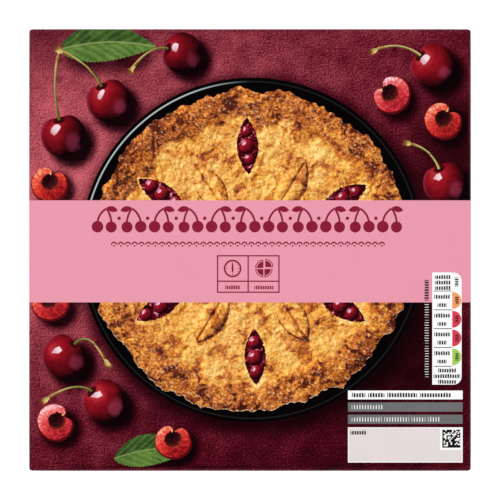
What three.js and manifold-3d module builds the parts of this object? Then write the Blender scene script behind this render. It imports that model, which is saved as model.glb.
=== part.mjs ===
// A shut pie carton: one sheet of white-lined board, scored, folded into a square, low box and glued.
// The top, front, bottom and back panels form a tube along X. Each end of the tube is closed by four flaps
// that fold in over each other: the front's and the back's first, then the bottom's, then the top's outside.
// The tube's long folds are round, the top panel crowns a little, and each closing flap stands one thickness
// of board proud of the flap under it, so that the ends step back towards the corners.
// Millimetres, +Z up. The origin is the centre of the underside. The printed face looks up, its top to +Y.
import * as THREE from "three";
import { mergeVertices } from "three/addons/utils/BufferGeometryUtils.js";
import Module from "manifold-3d";

const BOX_LENGTH = 195; // along X, between the faces of the closed ends
const BOX_WIDTH = 195; // along Y, between the front and the back
const BOX_HEIGHT = 44; // from the table to the middle of the crowned top
const TOP_CROWN = 0.8; // how far the middle of the top stands above its folds
const FOLD_RADIUS = 0.9; // outside of a scored fold
const BOARD = 0.5; // thickness of the board
const GLUE_LINE = 0.06; // between two glued flaps
const FLAP_STEP = BOARD + GLUE_LINE; // from one closing flap's face to the next one's

const FLAP_INSET = 1.2; // from a panel's long edge to the root of its end flap
const FLAP_TAPER = 2.5; // how much further in each side of a flap has gone at its free edge
const OUTER_FLAP_FOOT = 4; // height of the outer flap's free edge above the table
const INNER_FLAP_HEAD = 38; // height of the inner flap's free edge, under the outer flap
const FLAP_CORNER_RADIUS = 6; // rounding of the outer flap's free corners

const FOLD_STEPS = 4; // facets on half of a fold
const PANEL_STEPS = 14; // facets between the folds, for the crown
const WALL_STEPS = 2; // facets up a wall
const SPARE = 2; // how far a cutting solid reaches past what it cuts

const wasm = await Module();
wasm.setup();

// A closed geometry as a solid that can be joined and cut.
function solidFrom(geometry) {
  const bare = geometry.clone();
  bare.deleteAttribute("normal");
  bare.deleteAttribute("uv");
  const merged = mergeVertices(bare, 1e-4);
  return new wasm.Manifold(
    new wasm.Mesh({
      numProp: 3,
      vertProperties: merged.attributes.position.array,
      triVerts: new Uint32Array(merged.index.array),
    }),
  );
}

// A solid's faces as a three.js geometry.
function geometryFrom(solid) {
  const { numProp, numVert, vertProperties, triVerts } = solid.getMesh();
  const points = new Float32Array(numVert * 3);
  for (let i = 0; i < numVert; i += 1) {
    points.set(vertProperties.subarray(i * numProp, i * numProp + 3), i * 3);
  }
  const geometry = new THREE.BufferGeometry();
  geometry.setAttribute("position", new THREE.BufferAttribute(points, 3));
  geometry.setIndex(new THREE.BufferAttribute(new Uint32Array(triVerts), 1));
  geometry.computeVertexNormals();
  return geometry;
}

// Where the facets of one side of the box lie, from -half to half: close together on the folds, in equal
// angles, and evenly spread between them.
function facetLines(half, innerSteps) {
  const flat = half - FOLD_RADIUS;
  const lines = [];
  for (let k = FOLD_STEPS; k > 0; k -= 1) {
    lines.push(-flat - FOLD_RADIUS * Math.tan((Math.PI / 4) * (k / FOLD_STEPS)));
  }
  for (let k = 0; k <= innerSteps; k += 1) {
    lines.push(-flat + (2 * flat * k) / innerSteps);
  }
  for (let k = 1; k <= FOLD_STEPS; k += 1) {
    lines.push(flat + FOLD_RADIUS * Math.tan((Math.PI / 4) * (k / FOLD_STEPS)));
  }
  return lines;
}

// How far the top panel stands above its folds at a point.
function crown(x, y) {
  const along = 1 - (2 * x / BOX_LENGTH) ** 2;
  const across = 1 - (2 * y / BOX_WIDTH) ** 2;
  return TOP_CROWN * Math.max(along, 0) * Math.max(across, 0);
}

// The full block of the box, with round folds on every edge and the crown on its top.
function crownedBlock() {
  const half = new THREE.Vector3(BOX_LENGTH, BOX_WIDTH, BOX_HEIGHT - TOP_CROWN).multiplyScalar(0.5);
  const steps = [PANEL_STEPS, PANEL_STEPS, WALL_STEPS];
  const lines = ["x", "y", "z"].map((axis, i) => facetLines(half[axis], steps[i]));
  const [nx, ny, nz] = lines.map((list) => list.length - 1);
  const geometry = new THREE.BoxGeometry(nx, ny, nz, nx, ny, nz);
  const position = geometry.attributes.position;
  const flat = half.clone().subScalar(FOLD_RADIUS);
  const point = new THREE.Vector3();
  const core = new THREE.Vector3();
  for (let i = 0; i < position.count; i += 1) {
    point.fromBufferAttribute(position, i);
    point.set(
      lines[0][Math.round(point.x + nx / 2)],
      lines[1][Math.round(point.y + ny / 2)],
      lines[2][Math.round(point.z + nz / 2)],
    );
    core.copy(point).clamp(flat.clone().negate(), flat);
    point.sub(core).setLength(FOLD_RADIUS).add(core);
    const raise = point.z > 0 ? crown(point.x, point.y) : 0;
    position.setXYZ(i, point.x, point.y, point.z + half.z + raise);
  }
  return solidFrom(geometry);
}

// Half the width of an end flap at a height, from its root at one height to its free edge at another.
function flapHalfWidth(height, root, free) {
  const share = (height - root) / (free - root);
  return BOX_WIDTH / 2 - FLAP_INSET - FLAP_TAPER * share;
}

// The outer closing flap's outline, seen from the end: Y to the right and Z up, past the top fold.
function outerFlapOutline() {
  const above = BOX_HEIGHT + SPARE / 2;
  const root = flapHalfWidth(above, BOX_HEIGHT, OUTER_FLAP_FOOT);
  const bend = flapHalfWidth(OUTER_FLAP_FOOT + FLAP_CORNER_RADIUS, BOX_HEIGHT, OUTER_FLAP_FOOT);
  const foot = flapHalfWidth(OUTER_FLAP_FOOT, BOX_HEIGHT, OUTER_FLAP_FOOT);
  const outline = new THREE.Path();
  outline.moveTo(-root, above);
  outline.lineTo(-bend, OUTER_FLAP_FOOT + FLAP_CORNER_RADIUS);
  outline.quadraticCurveTo(-foot, OUTER_FLAP_FOOT, -foot + FLAP_CORNER_RADIUS, OUTER_FLAP_FOOT);
  outline.lineTo(foot - FLAP_CORNER_RADIUS, OUTER_FLAP_FOOT);
  outline.quadraticCurveTo(foot, OUTER_FLAP_FOOT, bend, OUTER_FLAP_FOOT + FLAP_CORNER_RADIUS);
  outline.lineTo(root, above);
  outline.closePath();
  return outline;
}

// The outline of both closing flaps together: each is widest at its root, so the two sides wave in.
function bothFlapsOutline() {
  const below = -SPARE / 2;
  const above = BOX_HEIGHT + SPARE / 2;
  const middle = BOX_HEIGHT / 2;
  const low = flapHalfWidth(below, 0, INNER_FLAP_HEAD);
  const waist = flapHalfWidth(middle, 0, INNER_FLAP_HEAD);
  const high = flapHalfWidth(above, BOX_HEIGHT, OUTER_FLAP_FOOT);
  const corners = [
    [-low, below],
    [low, below],
    [waist, middle],
    [high, above],
    [-high, above],
    [-waist, middle],
  ];
  return new THREE.Path(corners.map(([y, z]) => new THREE.Vector2(y, z)));
}

// Everything round an end flap's outline, as a slab of the given depth whose outer face is at x = 0.
function slabRound(outline, depth) {
  const half = BOX_WIDTH / 2 + SPARE;
  const slab = new THREE.Shape();
  slab.moveTo(-half, -SPARE);
  slab.lineTo(half, -SPARE);
  slab.lineTo(half, BOX_HEIGHT + SPARE);
  slab.lineTo(-half, BOX_HEIGHT + SPARE);
  slab.closePath();
  slab.holes.push(outline);
  const geometry = new THREE.ExtrudeGeometry(slab, { depth, bevelEnabled: false, curveSegments: 6 });
  // The shape's X becomes Y, its Y becomes Z, and the depth runs back along X.
  geometry.rotateX(Math.PI / 2);
  geometry.rotateZ(Math.PI / 2);
  geometry.translate(-depth, 0, 0);
  return geometry;
}

// What is cut from the end at +X, so that the flaps step back: one step round the outer flap, two round both.
function endCutters() {
  const face = BOX_LENGTH / 2;
  const outerStep = slabRound(outerFlapOutline(), FLAP_STEP + SPARE);
  outerStep.translate(face + SPARE, 0, 0);
  const innerStep = slabRound(bothFlapsOutline(), 2 * FLAP_STEP + SPARE);
  innerStep.translate(face + SPARE, 0, 0);
  return [outerStep, innerStep];
}

// What rounds the upright fold of a front or back flap, at the corner of the box at +X and +Y.
function uprightFoldCutter() {
  const cornerX = BOX_LENGTH / 2 - 2 * FLAP_STEP;
  const cornerY = BOX_WIDTH / 2;
  const strip = new THREE.Shape();
  strip.moveTo(cornerX + SPARE, cornerY + SPARE);
  strip.lineTo(cornerX - FOLD_RADIUS, cornerY + SPARE);
  strip.lineTo(cornerX - FOLD_RADIUS, cornerY);
  strip.absarc(cornerX - FOLD_RADIUS, cornerY - FOLD_RADIUS, FOLD_RADIUS, Math.PI / 2, 0, true);
  strip.lineTo(cornerX + SPARE, cornerY - FOLD_RADIUS);
  strip.closePath();
  const geometry = new THREE.ExtrudeGeometry(strip, {
    depth: BOX_HEIGHT + 2 * SPARE,
    bevelEnabled: false,
    curveSegments: FOLD_STEPS,
  });
  geometry.translate(0, 0, -SPARE);
  return geometry;
}

// The whole carton: the crowned block with its two ends stepped back and its upright folds rounded.
function cartonGeometry() {
  let carton = crownedBlock();
  for (const turn of [0, Math.PI]) {
    for (const cutter of endCutters()) {
      carton = carton.subtract(solidFrom(cutter.rotateZ(turn)));
    }
    const upright = uprightFoldCutter();
    carton = carton.subtract(solidFrom(upright.clone().rotateZ(turn)));
    // The other corner of the same end: the same strip turned over, so that its faces still look out.
    const turnedOver = upright.clone().translate(0, 0, -BOX_HEIGHT / 2).rotateX(Math.PI);
    turnedOver.translate(0, 0, BOX_HEIGHT / 2).rotateZ(turn);
    carton = carton.subtract(solidFrom(turnedOver));
  }
  return geometryFrom(carton);
}

const printedBoard = new THREE.MeshStandardMaterial({
  color: new THREE.Color(0x64142a),
  roughness: 0.42,
  metalness: 0,
});

const carton = new THREE.Mesh(cartonGeometry(), printedBoard);
carton.name = "carton";

const pieCarton = new THREE.Group();
pieCarton.add(carton);

export default pieCarton;
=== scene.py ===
# A shut carton for a chilled cherry pie, lying flat with its printed face up. It is one sheet of printed
# board, cut, folded into a square, low box, glued down one seam and closed with four flaps at each end. The
# carton comes first, from the bare sheet through each printed field to the folded panels; then the table,
# the light and the camera.
import math
import random
from collections import namedtuple

import bpy
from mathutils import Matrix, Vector, noise
from mathutils.geometry import delaunay_2d_cdt


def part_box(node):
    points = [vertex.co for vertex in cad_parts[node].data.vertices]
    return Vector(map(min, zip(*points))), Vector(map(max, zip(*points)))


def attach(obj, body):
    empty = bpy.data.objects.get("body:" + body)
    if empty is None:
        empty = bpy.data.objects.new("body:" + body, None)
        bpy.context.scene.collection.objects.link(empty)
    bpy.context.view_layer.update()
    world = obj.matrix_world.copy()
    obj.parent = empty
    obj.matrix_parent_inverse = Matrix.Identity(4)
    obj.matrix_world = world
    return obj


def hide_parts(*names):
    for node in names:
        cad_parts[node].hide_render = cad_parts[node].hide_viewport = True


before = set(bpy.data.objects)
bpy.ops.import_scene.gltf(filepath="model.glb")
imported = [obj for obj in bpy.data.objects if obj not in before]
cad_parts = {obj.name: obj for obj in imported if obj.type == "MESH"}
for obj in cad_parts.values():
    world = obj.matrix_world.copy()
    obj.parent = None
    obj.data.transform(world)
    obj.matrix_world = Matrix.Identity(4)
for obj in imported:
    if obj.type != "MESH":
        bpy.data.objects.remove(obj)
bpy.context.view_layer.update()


# The sheet of board
# White-lined folding board, half a millimetre thick, cut and creased flat in a die and then folded and
# glued. The seam is in the back, where the bottom's glue lap turns up inside the back panel's free edge. A
# place on the flat sheet is x, along the tube, and s, round it, in millimetres from the top's middle.
MM = 0.001
carton_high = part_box("carton")[1]
half_length = carton_high.x / MM
half_width = carton_high.y / MM
top_crown = 0.8
fold_level = carton_high.z / MM - top_crown
fold_radius = 0.9
quarter_fold = fold_radius * math.pi / 2
ridge = quarter_fold / 2
board_thickness = 0.5
flap_step = board_thickness + 0.06
back_edge_height = 0.3
glue_lap_height = 16

top_end_fold = half_length - fold_radius
bottom_end_fold = top_end_fold - flap_step
side_end_fold = top_end_fold - 2 * flap_step
tube_end = side_end_fold + fold_radius

top_fold = half_width - fold_radius
wall_head = top_fold + quarter_fold
wall_foot = wall_head + fold_level - 2 * fold_radius
bottom_edge = wall_foot + quarter_fold
lap_fold = bottom_edge + top_fold + half_width - flap_step - fold_radius
lap_edge = lap_fold + quarter_fold + glue_lap_height
back_edge = wall_head + fold_level - fold_radius - back_edge_height

ROUND_THE_BACK = [(top_fold, False), (quarter_fold, True), (back_edge - wall_head, False)]
ROUND_THE_FRONT = [
    (top_fold, False),
    (quarter_fold, True),
    (wall_foot - wall_head, False),
    (quarter_fold, True),
    (lap_fold - bottom_edge, False),
    (quarter_fold, True),
    (glue_lap_height, False),
]


def round_the_tube(s):
    """The y and z of the tube's outside at a flat place s, and the angle that the board has turned by."""
    y = 0.0
    z = fold_level
    heading = 0.0
    left = abs(s)
    for length, folded in ROUND_THE_BACK if s > 0 else ROUND_THE_FRONT:
        step = min(left, length)
        if folded:
            turned = heading + step / fold_radius
            y += fold_radius * (math.sin(turned) - math.sin(heading))
            z += fold_radius * (math.cos(turned) - math.cos(heading))
            heading = turned
        else:
            y += step * math.cos(heading)
            z -= step * math.sin(heading)
        left -= step
    return y, z, heading


def crown(x, y):
    """How far the top panel stands above its folds."""
    along = 1 - (x / half_length) ** 2
    across = 1 - (y / half_width) ** 2
    return top_crown * max(along, 0) * max(across, 0)


def folded(x, s, end_fold, spring):
    """Where the outside of a flat place lies on the shut carton, if its end flaps fold at end_fold. spring
    says how far the board has sprung outwards there."""
    side = math.copysign(1, s)
    y, z, heading = round_the_tube(s)
    past = max(abs(x) - end_fold, 0)
    turned = min(past / fold_radius, math.pi / 2)
    reach = min(abs(x), end_fold) + fold_radius * math.sin(turned)
    drop = fold_radius * (1 - math.cos(turned)) + max(past - quarter_fold, 0)
    out = Vector((0, side * math.sin(heading), math.cos(heading)))
    facing = out * math.cos(turned) + Vector((math.copysign(math.sin(turned), x), 0, 0))
    place = Vector((math.copysign(reach, x), side * y, z)) - out * drop
    if abs(s) < wall_head:
        place.z += crown(reach, y)
    return place + facing * spring(x, s)


def lies_flat(x, s):
    return 0.0


def same_place(x, s):
    return (x, s, 0.0)


# A printed field is an outline in an ink, and local turns a flat place into the field's own coordinates.
Field = namedtuple("Field", "ink outline local", defaults=[same_place])
FOLD_FACETS = 6
fold_wear_width = 0.55


def about(x0, s0, size=1.0, turn=0.0, tag=0.0):
    """Coordinates about a point, in sizes, turned with the motif. The third one tells motifs apart."""
    cosine = math.cos(turn) / size
    sine = math.sin(turn) / size

    def local(x, s):
        return ((x - x0) * cosine + (s - s0) * sine, (s - s0) * cosine - (x - x0) * sine, tag)

    return local


def placed(points, x0, s0, turn=0.0):
    """Points about the origin, turned and moved to stand about (x0, s0)."""
    cosine = math.cos(turn)
    sine = math.sin(turn)
    return [(x0 + u * cosine - v * sine, s0 + u * sine + v * cosine) for u, v in points]


def rectangle(x0, x1, s0, s1):
    return [(x0, s0), (x1, s0), (x1, s1), (x0, s1)]


def block(ink_name, x0, x1, s0, s1):
    """A field that is a plain rectangle."""
    return Field(ink_name, rectangle(x0, x1, s0, s1))


def counterclockwise(outline):
    following = outline[1:] + outline[:1]
    area = sum(a[0] * b[1] - b[0] * a[1] for a, b in zip(outline, following))
    return outline if area > 0 else outline[::-1]


def bend_lines(starts, low, high):
    """The places of the facets of the folds that start at these places, as far as they are on the piece."""
    lines = []
    for start in starts:
        for k in range(FOLD_FACETS + 1):
            line = start + math.copysign(quarter_fold * k / FOLD_FACETS, start)
            if low < line < high:
                lines.append(line)
    return lines


def box_of(points):
    """The lowest and the highest x and s of some flat places."""
    low = Vector((min(x for x, s in points), min(s for x, s in points)))
    high = Vector((max(x for x, s in points), max(s for x, s in points)))
    return low, high


def triangles_of(outline, fields, across, along, spacing):
    """Cuts a piece of the sheet into triangles along every field's outline and every fold, and gives the flat
    places, the triangles and the topmost field on each."""
    (low_x, low_s), (high_x, high_s) = box_of(outline)
    places = []
    faces = []
    for points in [outline] + [field.outline for field in fields]:
        faces.append(list(range(len(places), len(places) + len(points))))
        places += [Vector(point) for point in counterclockwise(list(points))]
    edges = []
    for x in bend_lines(across, low_x, high_x):
        edges.append((len(places), len(places) + 1))
        places += [Vector((x, low_s - 1)), Vector((x, high_s + 1))]
    for s in bend_lines(along, low_s, high_s):
        edges.append((len(places), len(places) + 1))
        places += [Vector((low_x - 1, s)), Vector((high_x + 1, s))]
    columns = max(round((high_x - low_x) / spacing), 2)
    rows = max(round((high_s - low_s) / spacing), 2)
    for i in range(1, columns):
        for j in range(1, rows):
            shift = 0.5 * (j % 2)
            x = low_x + (high_x - low_x) * min((i + shift) / columns, 0.995)
            places.append(Vector((x, low_s + (high_s - low_s) * j / rows)))
    near = 1e-4
    points, _, triangles, _, _, owners = delaunay_2d_cdt(places, edges, faces, 0, near, True)
    kept = [(triangle, max(owner)) for triangle, owner in zip(triangles, owners) if 0 in owner]
    return points, [triangle for triangle, top in kept], [top for triangle, top in kept]


def overlaps(field, outline):
    """Whether a field's box reaches the piece's box."""
    our_low, our_high = box_of(field.outline)
    low, high = box_of(outline)
    return all(our_high[axis] > low[axis] and our_low[axis] < high[axis] for axis in (0, 1))


def board_piece(name, outline, fields, end_fold, spacing, spring=lies_flat):
    """One panel or flap as a closed solid of board: printed outside, plain inside and cut edges."""
    fields = [field for field in fields if overlaps(field, outline)]
    across = [-end_fold, end_fold]
    along = [-top_fold, top_fold, -wall_foot, -lap_fold]
    points, triangles, tops = triangles_of(outline, fields, across, along, spacing)
    used = sorted({corner for triangle in triangles for corner in triangle})
    renumbered = {old: new for new, old in enumerate(used)}
    flat = [tuple(points[old]) for old in used]
    triangles = [[renumbered[corner] for corner in triangle] for triangle in triangles]
    count = len(flat)

    nudge = 0.02
    outer = []
    facings = []
    for x, s in flat:
        outer.append(folded(x, s, end_fold, spring))
        run = folded(x + nudge, s, end_fold, spring) - folded(x - nudge, s, end_fold, spring)
        rise = folded(x, s + nudge, end_fold, spring) - folded(x, s - nudge, end_fold, spring)
        facings.append(run.cross(rise).normalized())
    inner = [place - facing * board_thickness for place, facing in zip(outer, facings)]

    directed = dict.fromkeys((triangle[k], triangle[k - 2]) for triangle in triangles for k in range(3))
    cut = [(a, b) for a, b in directed if (b, a) not in directed]
    faces = [tuple(triangle) for triangle in triangles]
    faces += [tuple(corner + count for corner in reversed(triangle)) for triangle in triangles]
    faces += [(a, a + count, b + count, b) for a, b in cut]
    mesh = bpy.data.meshes.new(name)
    mesh.from_pydata([place * MM for place in outer + inner], [], faces)

    inks = [field.ink for field in fields]
    slots = list(dict.fromkeys(["board_lining"] + inks + ["board_inside", "board_cut"]))
    for slot in slots:
        mesh.materials.append(bpy.data.materials[slot])
    chosen = [slots.index(inks[top - 1]) if top else 0 for top in tops]
    chosen += [slots.index("board_inside")] * len(triangles)
    chosen += [slots.index("board_cut")] * len(cut)
    mesh.polygons.foreach_set("material_index", chosen)

    write_places(mesh, flat, fields, tops, end_fold)
    write_bake_map(mesh, flat, len(triangles))
    write_normals(mesh, facings, len(triangles))
    piece = bpy.data.objects.new(name, mesh)
    bpy.context.scene.collection.objects.link(piece)
    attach(piece, "root")
    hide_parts("carton")


def fold_nearness(x, s, end_fold):
    """1 on the ridge of a fold, falling to 0 beside it."""
    distances = [abs(abs(x) - end_fold - ridge), abs(abs(s) - top_fold - ridge)]
    distances += [abs(-s - wall_foot - ridge), abs(-s - lap_fold - ridge)]
    return math.exp(-((min(distances) / fold_wear_width) ** 2))


def write_places(mesh, flat, fields, tops, end_fold):
    """Stores each point's flat place, fold wear and shade, and each corner's place in its own field."""
    kinds = {"flat_place": "FLOAT_VECTOR", "fold_wear": "FLOAT", "cast_shade": "FLOAT"}
    for name, kind in kinds.items():
        mesh.attributes.new(name, kind, "POINT")
    mesh.attributes.new("motif_place", "FLOAT_VECTOR", "CORNER")
    places, wears, shades = (mesh.attributes[name].data for name in kinds)
    motifs = mesh.attributes["motif_place"].data
    for i, (x, s) in enumerate(flat):
        shade = cast_shade(x, s)
        wear = fold_nearness(x, s, end_fold)
        for k in (i, i + len(flat)):
            places[k].vector = (x, s, 0.0)
            wears[k].value = wear
            shades[k].value = shade
    for polygon, top in zip(mesh.polygons, tops):
        if top:
            for loop in polygon.loop_indices:
                motifs[loop].vector = fields[top - 1].local(*flat[mesh.loops[loop].vertex_index])


def write_bake_map(mesh, flat, triangle_count):
    """Lays the printed outside over nearly the whole map, and the plain inside and the edges beside it."""
    low, high = box_of(flat)
    margin = 0.008
    print_share = 0.93
    strip_left = 0.955
    strip_width = 0.035
    strip_height = 0.47
    inside_foot = 0.01
    edges_foot = 0.52
    layer = mesh.uv_layers.new(name="OFBake")
    edge_total = len(mesh.polygons) - 2 * triangle_count
    for number, polygon in enumerate(mesh.polygons):
        for step, loop in enumerate(polygon.loop_indices):
            x, s = flat[mesh.loops[loop].vertex_index % len(flat)]
            u = (x - low.x) / (high.x - low.x)
            v = (s - low.y) / (high.y - low.y)
            if number < triangle_count:
                place = (margin + print_share * u, margin + (1 - 2 * margin) * v)
            elif number < 2 * triangle_count:
                place = (strip_left + strip_width * u, inside_foot + strip_height * v)
            else:
                turn = (number - 2 * triangle_count + (step > 1)) / edge_total
                place = (strip_left + strip_width * (step in (1, 2)), edges_foot + strip_height * turn)
            layer.data[loop].uv = place


def write_normals(mesh, facings, triangle_count):
    """Smooth outside and inside, from the folded sheet itself, so that no joint between panels shows."""
    count = len(facings)
    normals = []
    for number, polygon in enumerate(mesh.polygons):
        for loop in polygon.loop_indices:
            vertex = mesh.loops[loop].vertex_index
            if number < triangle_count:
                normals.append(facings[vertex])
            elif number < 2 * triangle_count:
                normals.append(-facings[vertex - count])
            else:
                normals.append(polygon.normal.copy())
    mesh.polygons.foreach_set("use_smooth", [True] * len(mesh.polygons))
    mesh.normals_split_custom_set(normals)


# Varnish and bare board
# The outside is printed wet on a white clay coating and sealed with a satin varnish, so the fibres under it
# show as a very fine tooth. Where the sheet is creased or cut, the ink cracks and the white fibres show.
class Signal:
    """A number, vector or colour that a shader tree works out. It adds and multiplies as numbers do."""

    def __init__(self, socket):
        self.socket = socket
        self.tree = socket.id_data

    def into(self, socket):
        self.tree.links.new(self.socket, socket)

    def worked(self, operation, *others, output=0):
        """What a maths node makes of this and the others, or a vector node where one of them is a vector."""
        values = (self, *others)
        vectors = [isinstance(value, tuple) or is_vector(value) for value in values]
        kind = "ShaderNodeVectorMath" if any(vectors) else "ShaderNodeMath"
        made = node(self.tree, kind, dict(enumerate(values)), operation=operation)
        return Signal(made.outputs[output])

    def __add__(self, other):
        return self.worked("ADD", other)

    def __sub__(self, other):
        return self.worked("SUBTRACT", other)

    def __mul__(self, other):
        return self.worked("MULTIPLY", other)

    def __truediv__(self, other):
        return self.worked("DIVIDE", other)

    def __pow__(self, other):
        return self.worked("POWER", other)

    def __abs__(self):
        return self.worked("ABSOLUTE")

    def sine(self):
        return self.worked("SINE")

    def length(self):
        return self.worked("LENGTH", output="Value")

    def dot(self, other):
        return self.worked("DOT_PRODUCT", other, output="Value")

    def distance(self, other):
        return self.worked("DISTANCE", other, output="Value")

    def normalized(self):
        return self.worked("NORMALIZE")

    def held(self, low, high):
        return self.worked("MAXIMUM", low).worked("MINIMUM", high)

    def axes(self):
        parts = node(self.tree, "ShaderNodeSeparateXYZ", {"Vector": self}).outputs
        return [Signal(part) for part in parts]


def is_vector(value):
    return isinstance(value, Signal) and value.socket.type == "VECTOR"


def tree_of(values):
    return next(value.tree for value in values if isinstance(value, Signal))


def node(tree, kind, inputs=None, **settings):
    """Adds a node with these settings. An input is a plain value, or a signal that is joined to it."""
    made = tree.nodes.new(kind)
    for name, value in settings.items():
        setattr(made, name, value)
    for place, value in (inputs or {}).items():
        if isinstance(value, Signal):
            value.into(made.inputs[place])
        else:
            made.inputs[place].default_value = value
    return made


def between(value, low, high, start=0.0, end=1.0, smooth=False):
    """Start where the value is at low, and end where it is at high."""
    ends = {"Value": value, "From Min": low, "From Max": high, "To Min": start, "To Max": end}
    way = "SMOOTHSTEP" if smooth else "LINEAR"
    return Signal(node(value.tree, "ShaderNodeMapRange", ends, interpolation_type=way).outputs["Result"])


def swung(value, most, least=None):
    """Clouds as an amount up to most, from least, or from minus most if there is no least."""
    return between(value, 0.3, 0.7, -most if least is None else least, most)


def mixed(share, first, second, way="MIX"):
    inputs = {0: share, 6: first, 7: second}
    made = node(tree_of(inputs.values()), "ShaderNodeMix", inputs, data_type="RGBA", blend_type=way)
    return Signal(made.outputs[2])


def clouds(place, scale, detail=2.0, roughness=0.5, distortion=0.0, output="Fac"):
    inputs = {"Vector": place, "Scale": scale, "Detail": detail}
    inputs.update({"Roughness": roughness, "Distortion": distortion})
    return Signal(node(place.tree, "ShaderNodeTexNoise", inputs).outputs[output])


board_brightness = 0.8


def printed(red, green, blue):
    """A colour as a proof shows it, in steps of 255, on board that sends back four fifths of the light."""
    shares = [step / 255 for step in (red, green, blue)]
    light = [share / 12.92 if share <= 0.04045 else ((share + 0.055) / 1.055) ** 2.4 for share in shares]
    return (*(board_brightness * level for level in light), 1.0)


def ramp(value, *stops):
    """Colours along a value. Each stop is its place, and its red, green and blue as printed."""
    made = node(value.tree, "ShaderNodeValToRGB", {"Fac": value})
    elements = made.color_ramp.elements
    while len(elements) < len(stops):
        elements.new(1.0)
    for element, (place, *colour) in zip(elements, stops):
        element.position = place
        element.color = printed(*colour)
    return Signal(made.outputs["Color"])


def new_group(name, inputs, outputs):
    """An empty node group with these sockets. Gives it with its inputs as signals and its output sockets."""
    group = bpy.data.node_groups.new(name, "ShaderNodeTree")
    for way, sockets in (("INPUT", inputs), ("OUTPUT", outputs)):
        for socket, kind in sockets.items():
            group.interface.new_socket(socket, in_out=way, socket_type="NodeSocket" + kind)
    start = group.nodes.new("NodeGroupInput").outputs
    end = group.nodes.new("NodeGroupOutput").inputs
    return group, [Signal(start[socket]) for socket in inputs], end


def grouped(group, **inputs):
    """Places a node group beside its inputs, with _ for a space in their names. Gives its outputs by name."""
    named = {name.replace("_", " "): value for name, value in inputs.items()}
    made = node(tree_of(inputs.values()), "ShaderNodeGroup", named, node_tree=group)
    return {socket.name: Signal(socket) for socket in made.outputs}


def attribute(tree, name, output="Vector"):
    return Signal(node(tree, "ShaderNodeAttribute", attribute_name=name).outputs[output])


sheet, (place, ink_colour, wear), result = new_group(
    "varnished sheet",
    {"Place": "Vector", "Ink": "Color", "Fold Wear": "Float"},
    {"Colour": "Color", "Roughness": "Float", "Height": "Float"},
)
fibres = clouds(place, 2.6, 4.0, 0.6)
density = swung(clouds(place, 0.05), 1.015, 0.985)
inked = mixed(1.0, ink_colour, density * swung(fibres, 1.01, 0.99), "MULTIPLY")
cracks = clouds(place, 1.9, 5.0, 0.75)
cracked = (between(cracks, 0.52, 0.66) * wear).held(0.0, 1.0)
mixed(cracked * 0.2, inked, printed(232, 229, 224)).into(result["Colour"])
(swung(fibres, 0.31, 0.25) + cracked).into(result["Roughness"])
(fibres * 0.35 + clouds(place, 0.09, 1.0) * 6.0).into(result["Height"])


def board_material(name, mirror_share, tooth, finish):
    """A material of the sheet. finish gives its colour, roughness and height for a flat place."""
    material = bpy.data.materials.new(name)
    material.use_nodes = True
    tree = material.node_tree
    shader = tree.nodes["Principled BSDF"]
    colour, roughness, height = finish(attribute(tree, "flat_place"))
    colour.into(shader.inputs["Base Color"])
    roughness.into(shader.inputs["Roughness"])
    shader.inputs["Specular IOR Level"].default_value = mirror_share
    bump = node(tree, "ShaderNodeBump", {"Distance": tooth, "Height": height})
    Signal(bump.outputs["Normal"]).into(shader.inputs["Normal"])


def ink(name, paint):
    """A printed and varnished ink. paint draws it from the flat place and the place in its own field, or is
    its colour."""

    def finish(place):
        colour = paint(place, attribute(place.tree, "motif_place")) if callable(paint) else paint
        wear = attribute(place.tree, "fold_wear", "Fac")
        made = grouped(sheet, Place=place, Ink=colour, Fold_Wear=wear)
        return made["Colour"], made["Roughness"], made["Height"]

    board_material(name, 0.08, 0.02 * MM, finish)


def bare_board(name, colour, fleck_colour, fleck_scale):
    """Unprinted fibre: a dull, felted surface with flecks of darker pulp."""

    def finish(place):
        flecks = clouds(place, fleck_scale, 6.0, 0.8)
        tint = mixed(between(flecks, 0.5, 0.75, 0.0, 0.6), printed(*colour), printed(*fleck_colour))
        return tint, swung(flecks, 0.9, 0.78), flecks

    board_material(name, 0.15, 0.03 * MM, finish)


bare_board("board_lining", (240, 238, 233), (226, 222, 214), 0.9)
bare_board("board_inside", (214, 208, 196), (178, 168, 150), 1.4)
bare_board("board_cut", (222, 217, 207), (186, 176, 160), 3.0)


# The ground
# A photographic ground of wine-red suede covers the whole sheet, rosy on the left and nearly black beside
# the dish on the right. Its nap is a rough speckle, and all that lies on it throws a dark, soft shade.
ground_glow_place = (-80, 28, 0)
ground_glow_shape = (0.7, 1.15, 0)
ground_glow_reach = 170

# Dark pools, each with its x, s, radius, softness and depth, make the wide shades of the picture.
dark_beside_dish = (66.0, -42.0, 13.0, 38.0, 0.83)
dark_corner = (-100.0, 102.0, 4.0, 40.0, 0.46)
dark_foot = (22.0, -92.0, 20.0, 42.0, 0.36)
dark_right = (100.0, 42.0, 12.0, 44.0, 0.78)
dark_low_left = (-44.0, -74.0, 6.0, 24.0, 0.4)
cast_shades = [dark_beside_dish, dark_corner, dark_foot, dark_right, dark_low_left]


def cast_shade(x, s):
    """How dark the shades of the pictured things and the pools make the ground, from 0 to 1."""
    light = 1.0
    for x0, s0, radius, soft, depth in cast_shades:
        away = math.hypot(x - x0, s - s0)
        if away < radius + soft:
            share = min((radius + soft - away) / soft, 1.0)
            light *= 1 - depth * share * share * (3 - 2 * share)
    return 1 - light


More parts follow.
